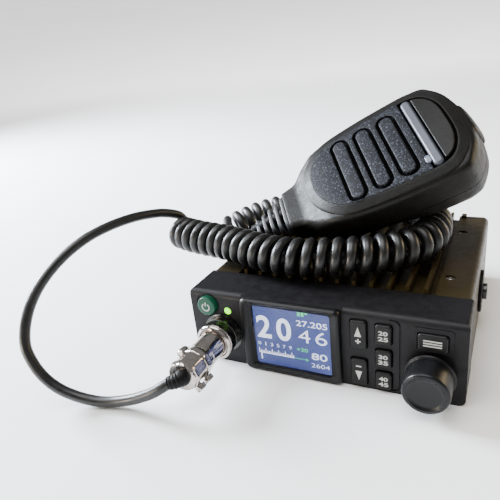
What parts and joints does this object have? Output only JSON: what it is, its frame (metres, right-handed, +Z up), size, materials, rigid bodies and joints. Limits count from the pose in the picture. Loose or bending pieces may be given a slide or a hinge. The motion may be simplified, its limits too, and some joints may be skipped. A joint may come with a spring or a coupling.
{
  "type": "mobile transceiver",
  "caption": "Mobile two-way radio with finned case, colour display, keys and rotary knob, and a hand microphone on a curly cord with a round screw-on plug.",
  "frame": {"origin": "centre of the radio case's base, on the surface that it stands on", "axes": "+X to the radio's right as its user sees it, +Y from the front panel to the back, +Z up"},
  "size_m": [0.1823, 0.1832, 0.1081],
  "materials": {
    "cast_black": "die-cast aluminium with black powder coat",
    "steel_black": "black painted sheet steel",
    "panel_plastic": "fine-grained moulded plastic",
    "frame_plastic": "satin display frame",
    "window_clear": "clear hard-coated window",
    "display_lit": "lit colour display, emissive",
    "board_green": "solder-resist green board",
    "component_black": "moulded component body",
    "screw_steel": "plated machine screw",
    "screw_black": "blackened machine screw",
    "rubber_black": "moulded rubber",
    "mat_grey": "silicone rubber keypad mat",
    "key_plastic": "moulded key with printed symbol",
    "button_green": "green moulded button",
    "led_green": "lit green light pipe, emissive",
    "knob_plastic": "satin knob",
    "nickel": "bright nickel plate",
    "steel_plain": "plain steel",
    "speaker_black": "pressed steel basket",
    "cord_jacket": "smooth flexible cord jacket",
    "mic_plastic": "grained moulded plastic",
    "mic_panel": "sparkle-textured plastic",
    "lamp_clear": "clear lamp lens",
    "capsule_metal": "drawn aluminium can"
  },
  "bodies": {
    "radio": {"chassis": "cast_black", "bottom_cover": "steel_black", "front_bezel": "panel_plastic", "display_frame": "frame_plastic", "display_window": "window_clear", "display_module": "display_lit", "front_board": "board_green", "main_board": "board_green", "board_screws": "screw_steel", "power_transistors": "component_black", "speaker": "speaker_black", "cover_screws": "screw_black", "bezel_screws": "screw_black", "top_screws": "screw_steel", "side_washers": "rubber_black", "side_screws": "screw_black", "antenna_socket": "nickel", "antenna_nut": "steel_plain", "speaker_jack": "component_black", "jack_nut": "nickel", "power_gland": "rubber_black", "power_switch": "component_black", "status_led": "led_green", "keypad_mat": "mat_grey", "encoder": "steel_plain", "encoder_nut": "steel_plain", "mic_socket": "nickel", "socket_nut": "steel_plain", "plug_insert": "component_black", "plug_barrel": "nickel", "plug_clamp": "nickel", "plug_screws": "nickel", "plug_boot": "rubber_black", "cord_lead": "cord_jacket", "cord_coil_front": "cord_jacket", "cord_coil_rear": "cord_jacket"},
    "power_button": {"power_button": "button_green"},
    "key_up": {"key_up": "key_plastic"},
    "key_down": {"key_down": "key_plastic"},
    "key_upper": {"key_upper": "key_plastic"},
    "key_middle": {"key_middle": "key_plastic"},
    "key_lower": {"key_lower": "key_plastic"},
    "key_wide": {"key_wide": "key_plastic"},
    "knob": {"knob": "knob_plastic", "encoder_shaft": "steel_plain"},
    "plug_ring": {"plug_ring": "nickel"},
    "microphone": {"strain_relief": "rubber_black", "cord_tail": "cord_jacket", "mic_front_shell": "mic_plastic", "mic_back_shell": "mic_plastic", "mic_face_cover": "mic_plastic", "mic_face_panel": "mic_panel", "mic_lamp": "lamp_clear", "ptt_switch": "component_black", "mic_board": "board_green", "mic_capsule": "capsule_metal", "mic_screws": "screw_steel", "mic_hang_stud": "nickel"},
    "talk_switch": {"mic_ptt": "mic_plastic"}
  },
  "joints": [
    {"name": "power_press", "type": "slide", "parent": "radio", "child": "power_button", "axis": [0, 1, 0], "range_m": [0, 0.001], "stiffness_N_per_m": 400},
    {"name": "up_press", "type": "slide", "parent": "radio", "child": "key_up", "axis": [0, 1, 0], "range_m": [0, 0.0008], "stiffness_N_per_m": 300},
    {"name": "down_press", "type": "slide", "parent": "radio", "child": "key_down", "axis": [0, 1, 0], "range_m": [0, 0.0008], "stiffness_N_per_m": 300},
    {"name": "upper_press", "type": "slide", "parent": "radio", "child": "key_upper", "axis": [0, 1, 0], "range_m": [0, 0.0008], "stiffness_N_per_m": 300},
    {"name": "middle_press", "type": "slide", "parent": "radio", "child": "key_middle", "axis": [0, 1, 0], "range_m": [0, 0.0008], "stiffness_N_per_m": 300},
    {"name": "lower_press", "type": "slide", "parent": "radio", "child": "key_lower", "axis": [0, 1, 0], "range_m": [0, 0.0008], "stiffness_N_per_m": 300},
    {"name": "wide_press", "type": "slide", "parent": "radio", "child": "key_wide", "axis": [0, 1, 0], "range_m": [0, 0.0008], "stiffness_N_per_m": 300},
    {"name": "knob_turn", "type": "hinge", "parent": "radio", "child": "knob", "pos_m": [0.047, -0.065, 0.0133], "axis": [0, -1, 0], "continuous": true},
    {"name": "ring_turn", "type": "hinge", "parent": "radio", "child": "plug_ring", "pos_m": [-0.0443, -0.063, 0.0158], "axis": [0, -1, 0], "continuous": true},
    {"name": "mic_lift", "type": "slide", "parent": "radio", "child": "microphone", "axis": [0, 0, 1], "range_m": [0, 0.06]},
    {"name": "talk_press", "type": "slide", "parent": "microphone", "child": "talk_switch", "axis": [0.482, -0.7521, -0.4495], "range_m": [0, 0.0015], "stiffness_N_per_m": 300}
  ]
}
